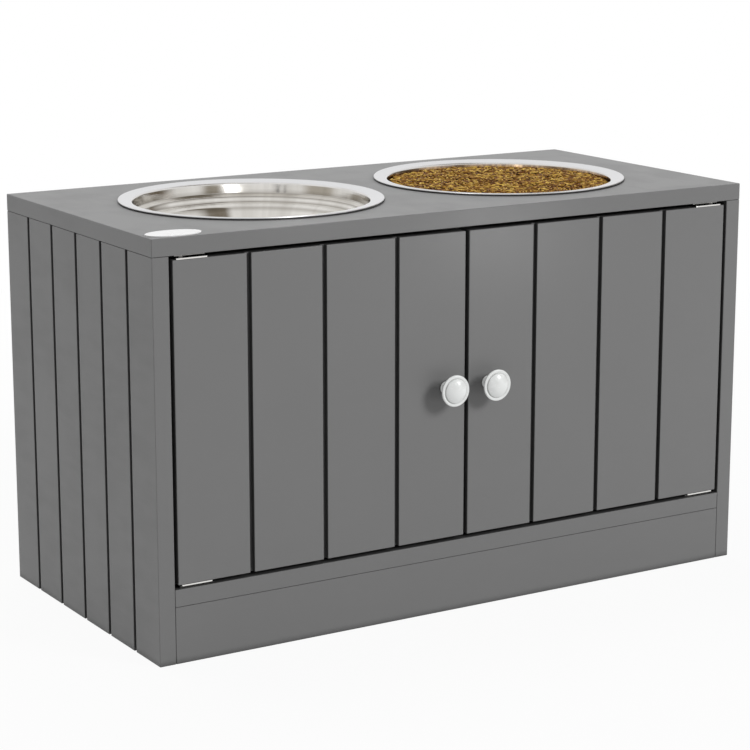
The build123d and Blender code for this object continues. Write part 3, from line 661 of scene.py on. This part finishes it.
def turnBowl(name, node):
    corners, bends = readProfile(bowl["profile"])
    outline = roundCorners(corners, bends)
    under = roundCorners(*shiftCorners(corners, bends, bowl["sheet"]))
    outline += [(point, -facing) for point, facing in reversed(under)]
    low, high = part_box(node)
    middle = Vector(((low.x + high.x) / 2, (low.y + high.y) / 2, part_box("top_panel")[1].z))
    upward = Vector((0, 0, 1))
    piece = turnPiece(name, outline, middle, upward, bowl["sides"], makeSteel(node))
    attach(piece, node)
    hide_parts(node)


turnBowl("leftSteelBowl", "left_bowl")
turnBowl("rightSteelBowl", "right_bowl")

knob = {
    # radius and distance from the door of each corner, and the radius of its bend
    "profile": (
        (0.0, 0.0, 0.0),
        (5.8, 0.0, 0.3),
        (5.8, 1.1, 0.4),
        (4.1, 2.6, 1.3),
        (4.1, 9.8, 4.0),
        (13.0, 14.2, 0.5),
        (13.8, 14.8, 0.5),
        (13.8, 16.0, 0.6),
        (12.9, 16.5, 0.8),
        (11.0, 16.1, 0.3),
        (10.7, 15.8, 0.15),
        (10.6, 17.3, 0.5),
        (5.8, 20.8, 16.5),
        (0.0, 20.8, 0.0),
    ),
    "sides": 128,
}


def turnKnob(name, node, body):
    low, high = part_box(node)
    middle = Vector(((low.x + high.x) / 2, high.y, (low.z + high.z) / 2))
    outline = roundCorners(*readProfile(knob["profile"]))
    forward, slotName = Vector((0, -1, 0)), "white_knob"
    piece = turnPiece(name, outline, middle, forward, knob["sides"], slotFinish[slotName])
    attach(piece, body)
    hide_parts(node)


turnKnob("leftTurnedKnob", "left_knob", "left_door")
turnKnob("rightTurnedKnob", "right_knob", "right_door")

# Dry food in the right bowl: loose pellets over a packed bed, painted dark as shade

food = {
    "seed": 7,
    "layers": ((3.3, 1.2, 0.3), (3.9, 0.0, 1.0)),  # spacing, depth below the level, and strength of the tint, weaker below as painted shade
    "jitter": 0.3,
    "level": -0.8,  # from the top of the CAD food to the middles of the highest pellets
    "mound": (1.6, 19.0),  # height and radius of each swell
    "mounds": ((0, 1), (33, 6), (66, 12)),  # how far out each ring of swells stands, and how many it has
    "edgeGap": 2.4,  # from the bowl's wall to the middles of the outermost pellets
    "length": (5.6, 9.0),
    "width": (1.8, 2.6),
    "thickness": (1.5, 2.1),
    "lump": 0.12,
    "tilt": 6.0,
    "uneven": 0.3,
    "spread": (0.60, 0.80),  # of the tints between brown and pale
    # painted shade in the gaps between the pellets: reach, where it is full, and share
    "gapReach": 3.5 * mm,
    "gapShut": 0.3,
    "gapShadeShare": 0.95,
    "grain": 900.0,
    "patch": 420.0,
    "toastFrom": (0.35, 0.7),
    "toastAndShade": 0.3,
    "gloss": 0.15,
    # darkest brown: the colour of the toasted spots, and of the painted shade in the gaps
    "dark": (0.030, 0.012, 0.002),
    "brown": (0.13, 0.042, 0.006),
    "gold": (0.375, 0.195, 0.027),
    "goldAt": 0.55,
    "pale": (0.73, 0.48, 0.105),
    "mottleRange": (0.3, 0.7),
    "roughness": (0.42, 0.68),
    "bump": 0.25 * mm,
}
pelletSides = 7
# place along the pellet and radius of each ring, as shares of its half length and half width
pelletRings = ((-1.0, 0.0), (-0.78, 0.66), (-0.3, 1.0), (0.3, 1.0), (0.78, 0.66), (1.0, 0.0))


def makeFoodFinish(name, toastAndShade):
    material, tree, shader = startMaterial(name, Specular_IOR_Level=food["gloss"])
    tint = addNode(tree, "Attribute", attribute_name="tint").outputs["Fac"]
    skin = useGroup(tree, fineSkin, Grain=food["grain"], Patch=food["patch"])
    ramp = addNode(tree, "ValToRGB", {"Fac": tint})
    stops = ramp.color_ramp.elements
    stops[0].color = (*food["brown"], 1)
    stops[1].color = (*food["pale"], 1)
    stops.new(food["goldAt"]).color = (*food["gold"], 1)
    # dark toasted spots on the pellets; at full strength on the bed they are painted shade
    toastedAndShaded = remap(tree, skin["Mottle"], *food["toastFrom"], 0.0, toastAndShade)
    color = mixColor(tree, toastedAndShaded, ramp.outputs["Color"], food["dark"])
    # painted shade in the gaps between the pellets
    gapShade = useGroup(tree, creviceShade, Reach=food["gapReach"], Shut=food["gapShut"])["Mask"]
    color = mixColor(tree, doMath(tree, "MULTIPLY", gapShade, food["gapShadeShare"]), color, food["dark"])
    rough = remap(tree, skin["Mottle"], *food["mottleRange"], *food["roughness"])
    finishMaterial(tree, shader, color, rough, skin["Height"], food["bump"])
    return material


def pelletShape():
    points, faces = [], []
    for along, radius in pelletRings:
        for side in range(1 if radius == 0 else pelletSides):
            turn = 2 * math.pi * side / pelletSides
            points.append((along, radius * math.cos(turn), radius * math.sin(turn)))
    last = len(points) - 1
    rings = len(pelletRings) - 2
    for side in range(pelletSides):
        after = (side + 1) % pelletSides
        faces.append((0, 1 + after, 1 + side))
        for ring in range(rings - 1):
            here, there = 1 + ring * pelletSides, 1 + (ring + 1) * pelletSides
            faces.append((here + side, here + after, there + after, there + side))
        tail = 1 + (rings - 1) * pelletSides
        faces.append((last, tail + side, tail + after))
    return np.array(points), faces


rowPitch = 0.866  # of the rows of a triangular grid


def scatter(chooser, spacing, radius):
    places = []
    jitter = food["jitter"]
    rows = int(radius / spacing / rowPitch) + 1
    for row in range(-rows, rows + 1):
        for column in range(-rows - 1, rows + 2):
            x = (column + 0.5 * (row % 2) + chooser.uniform(-jitter, jitter)) * spacing
            y = (row * rowPitch + chooser.uniform(-jitter, jitter)) * spacing
            if math.hypot(x, y) < radius:
                places.append((x, y))
    return places


def heaped(x, y):
    height, radius = food["mound"]
    curve = (radius * radius + height * height) / (2 * height)
    rise = 0.0
    for distance, count in food["mounds"]:
        for number in range(count):
            turn = 2 * math.pi * number / count
            away = math.hypot(x - distance * math.cos(turn), y - distance * math.sin(turn))
            if away < radius:
                rise = max(rise, math.sqrt(curve * curve - away * away) - curve + height)
    return rise - height


def pourFood():
    chooser = random.Random(food["seed"])
    low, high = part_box("dog_food")
    centerX, centerY = (low.x + high.x) / 2, (low.y + high.y) / 2
    reach = (high.x - low.x) / 2 / mm - food["edgeGap"]
    shape, shapeFaces = pelletShape()
    finish = makeFoodFinish("kibble", food["toastAndShade"])
    pieces = []
    for number, (spacing, drop, strength) in enumerate(food["layers"]):
        points, faces, tints = [], [], []
        for x, y in scatter(chooser, spacing, reach):
            size = [chooser.uniform(*food[key]) / 2 for key in ("length", "width", "thickness")]
            turn = Euler(
                (
                    chooser.uniform(0, 2 * math.pi),
                    math.radians(chooser.gauss(0, food["tilt"])),
                    chooser.uniform(0, 2 * math.pi),
                )
            ).to_matrix()
            lumps = np.array([[1 + chooser.uniform(-1, 1) * food["lump"]] for _ in shape])
            rise = food["level"] - drop + heaped(x, y) + chooser.uniform(-1, 1) * food["uneven"]
            middle = Vector((x, y, rise))
            body = shape * lumps * np.array(size) @ np.array(turn.transposed()) + np.array(middle)
            start = len(points)
            points.extend(map(tuple, body * mm + np.array((centerX, centerY, high.z))))
            faces.extend(tuple(start + corner for corner in face) for face in shapeFaces)
            tints.extend([chooser.betavariate(*food["spread"]) * strength] * len(shape))
        piece = meshPiece(f"kibble_{number}", points, faces, finish)
        piece.data.attributes.new("tint", "FLOAT", "POINT").data.foreach_set("value", tints)
        pieces.append(piece)
    return pieces


foodBed = {
    # radius and height over the top of the CAD food
    "outline": (
        (0.0, -4.0),
        (60.0, -4.0),
        (97.5, -4.2),
        (95.5, -14.0),
        (88.0, -18.6),
        (58.0, -46.6),
        (0.0, -46.8),
    ),
    "sides": 96,
    "lump": 0.5,
    # full toasting and a tint near the brown end paint the bed dark, as shade deep between the pellets
    "toastAndShade": 1.0,
    "tint": 0.05,
}


def makeFoodBed():
    chooser = random.Random(food["seed"] + 1)
    low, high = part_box("dog_food")
    centerX, centerY = (low.x + high.x) / 2, (low.y + high.y) / 2
    points, faces = [], []
    sides = foodBed["sides"]
    outline = foodBed["outline"]
    for radius, rise in outline:
        for side in range(sides):
            turn = 2 * math.pi * side / sides
            around = radius - chooser.uniform(0, foodBed["lump"])
            points.append(
                (
                    centerX + around * math.cos(turn) * mm,
                    centerY + around * math.sin(turn) * mm,
                    high.z + (rise + chooser.uniform(0, foodBed["lump"])) * mm,
                )
            )
    for ring in range(len(outline) - 1):
        for side in range(sides):
            after = (side + 1) % sides
            here, there = ring * sides, (ring + 1) * sides
            faces.append((here + side, there + side, there + after, here + after))
    piece = meshPiece("foodBed", points, faces, makeFoodFinish("foodBed", foodBed["toastAndShade"]))
    tints = [foodBed["tint"]] * len(points)
    piece.data.attributes.new("tint", "FLOAT", "POINT").data.foreach_set("value", tints)
    return piece


for piece in pourFood() + [makeFoodBed()]:
    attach(piece, "right_bowl")
    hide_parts("dog_food")
    print("food:", piece.name, len(piece.data.polygons), "faces")

# Camera

view = {
    "place": (-1.1093, -1.78955, 0.6608),
    "yaw": 31.55,  # degrees to the right of +Y
    "pitch": 12.73,  # degrees below level
    "lens": 113.1,
    "sensor": 36,
    "clip": (0.1, 100),
}


def makeCamera():
    data = bpy.data.cameras.new("camera")
    data.sensor_width = view["sensor"]
    data.lens = view["lens"]
    data.clip_start, data.clip_end = view["clip"]
    camera = bpy.data.objects.new("camera", data)
    camera.location = view["place"]
    camera.rotation_euler = (math.radians(90 - view["pitch"]), 0, -math.radians(view["yaw"]))
    bpy.context.scene.collection.objects.link(camera)
    bpy.context.scene.camera = camera


makeCamera()
print("camera: set")

# Studio: pale floor, white surroundings, soft lamps, and cards that only reflections show

studio = {
    "floorRadius": 40.0,
    "floorCorners": 64,
    "floorColor": grey(0.66),
    "floorWhite": (0.94, 1.0),  # how white the floor looks, near the feeder and away from it
    "whiteFrom": (0.5, 1.5),
    "aroundLevel": 0.30,  # of the light that the surroundings throw on the feeder
    "fade": 0.3,  # of a card's or a glint's width, along each border
    "middle": (0.0, 0.0, 0.2),
}
# place, size, power, and whether it shows only as a glint on glossy surfaces
lamps = {
    "keyLamp": ((2.4, -4.1, 2.5), (1.55, 1.55), 150.0, False),
    "sideLamp": ((-4.5, 0.5, 1.6), (2.4, 2.4), 19.0, False),
    "topLamp": ((-0.1, 1.3, 3.3), (2.0, 1.4), 60.0, False),
    "bowlGlint": ((-0.1384, -0.1604, 0.4082), (0.075, 0.13), 0.129, True),
    "knobGlint": ((0.1196, -0.2960, 0.3200), (0.09, 0.09), 0.162, True),
}
# direction from +Y towards +X and height in degrees, distance, width, height and colour
cards = {
    "cardRight": (92.0, 6.0, 3.2, 5.0, 2.2, (0.16, 0.13, 0.095)),
    "cardDoor": (170.0, 8.0, 3.2, 1.4, 1.8, (0.34, 0.31, 0.26)),
    "cardFrame": (237.0, 8.0, 3.2, 0.22, 1.8, (0.02, 0.02, 0.02)),
    "cardFrameThin": (245.0, 8.0, 3.2, 0.12, 1.8, (0.05, 0.05, 0.05)),
    "cardLeft": (282.0, 10.0, 3.2, 3.0, 2.2, (0.48, 0.45, 0.40)),
    "cardOver": (121.0, 66.0, 2.6, 4.0, 1.1, (0.23, 0.20, 0.16)),
    "cardAbove": (211.0, 60.0, 2.8, 0.9, 0.7, (0.30, 0.29, 0.26)),
}


def seenDirectly(tree):
    path = addNode(tree, "LightPath").outputs
    seen = doMath(tree, "MAXIMUM", path["Is Camera Ray"], path["Is Glossy Ray"])
    return doMath(tree, "MAXIMUM", seen, path["Is Transmission Ray"])


def makeSurroundings():
    world = bpy.data.worlds.new("surroundings")
    world.use_nodes = True
    tree = world.node_tree
    background = tree.nodes["Background"]
    background.inputs["Color"].default_value = (1, 1, 1, 1)
    strength = remap(tree, seenDirectly(tree), 0.0, 1.0, studio["aroundLevel"], 1.0)
    tree.links.new(strength, background.inputs["Strength"])
    bpy.context.scene.world = world


def makeFloor():
    material = bpy.data.materials.new("paleFloor")
    material.use_nodes = True
    tree = material.node_tree
    tree.nodes.remove(tree.nodes["Principled BSDF"])
    matte = addNode(tree, "BsdfDiffuse", {"Color": studio["floorColor"]}).outputs[0]
    white = addNode(tree, "Emission", {"Color": grey(1.0), "Strength": 1.0}).outputs[0]
    away = addNode(tree, "VectorMath", {0: objectPlace(tree)}, operation="LENGTH").outputs["Value"]
    shown = remap(tree, away, *studio["whiteFrom"], *studio["floorWhite"])
    share = doMath(tree, "MULTIPLY", seenDirectly(tree), shown)
    mixed = addNode(tree, "MixShader", {0: share, 1: matte, 2: white}).outputs[0]
    tree.links.new(mixed, tree.nodes["Material Output"].inputs["Surface"])
    corners, reach = studio["floorCorners"], studio["floorRadius"]
    turns = [2 * math.pi * corner / corners for corner in range(corners)]
    points = [(reach * math.cos(turn), reach * math.sin(turn), 0) for turn in turns]
    mesh = bpy.data.meshes.new("floor")
    mesh.from_pydata(points, [], [range(corners)])
    mesh.materials.append(material)
    floor = bpy.data.objects.new("floor", mesh)
    bpy.context.scene.collection.objects.link(floor)


def aimAt(thing, target):
    thing.rotation_euler = (Vector(target) - thing.location).to_track_quat("-Z", "Y").to_euler()


def softBorder(tree, place):
    parts = addNode(tree, "SeparateXYZ", {0: place}).outputs
    fromEdges = [doMath(tree, "PINGPONG", parts[axis], 0.5) for axis in ("X", "Y")]
    fades = [remap(tree, fromEdge, 0.0, studio["fade"], 0.0, 1.0) for fromEdge in fromEdges]
    return doMath(tree, "MULTIPLY", *fades)


def makeLamp(name, place, size, power, glint):
    data = bpy.data.lights.new(name, "AREA")
    data.shape = "RECTANGLE"
    data.size, data.size_y = size
    data.energy = power
    if glint:
        data.use_nodes = True
        tree = data.node_tree
        across = addNode(tree, "NewGeometry").outputs["Parametric"]
        tree.links.new(softBorder(tree, across), tree.nodes["Emission"].inputs["Strength"])
    lamp = bpy.data.objects.new(name, data)
    lamp.location = place
    lamp.visible_camera = False
    lamp.visible_diffuse = not glint
    lamp.visible_glossy = glint
    aimAt(lamp, studio["middle"])
    bpy.context.scene.collection.objects.link(lamp)


def makeCardFinish(color):
    material = bpy.data.materials.new("card")
    material.use_nodes = True
    tree = material.node_tree
    tree.nodes.remove(tree.nodes["Principled BSDF"])
    fade = softBorder(tree, addNode(tree, "TexCoord").outputs["Generated"])
    clear = addNode(tree, "BsdfTransparent").outputs[0]
    plain = addNode(tree, "Emission", {"Color": color, "Strength": 1.0}).outputs[0]
    mixed = addNode(tree, "MixShader", {0: fade, 1: clear, 2: plain}).outputs[0]
    tree.links.new(mixed, tree.nodes["Material Output"].inputs["Surface"])
    return material


def makeCard(name, direction, height, distance, width, tall, color):
    turn, lift = math.radians(direction), math.radians(height)
    flat = Vector((math.sin(turn), math.cos(turn), 0))
    outward = flat * math.cos(lift) + Vector((0, 0, math.sin(lift)))
    across = Vector((flat.y, -flat.x, 0)) * width / 2
    upward = across.cross(outward).normalized() * tall / 2
    mesh = bpy.data.meshes.new(name)
    mesh.from_pydata([(-1, -1, 0), (1, -1, 0), (1, 1, 0), (-1, 1, 0)], [], [(0, 1, 2, 3)])
    mesh.materials.append(makeCardFinish(color))
    card = bpy.data.objects.new(name, mesh)
    matrix = Matrix((across, upward, outward)).transposed().to_4x4()
    matrix.translation = Vector(studio["middle"]) + outward * distance
    card.matrix_world = matrix
    bpy.context.scene.collection.objects.link(card)
    card.visible_camera = False
    card.visible_diffuse = False
    card.visible_shadow = False


makeSurroundings()
makeFloor()
for name, settings in lamps.items():
    makeLamp(name, *settings)
for name, settings in cards.items():
    makeCard(name, *settings)
bpy.context.scene.view_settings.view_transform = "Standard"
print("studio: floor,", len(lamps), "lamps and", len(cards), "cards")
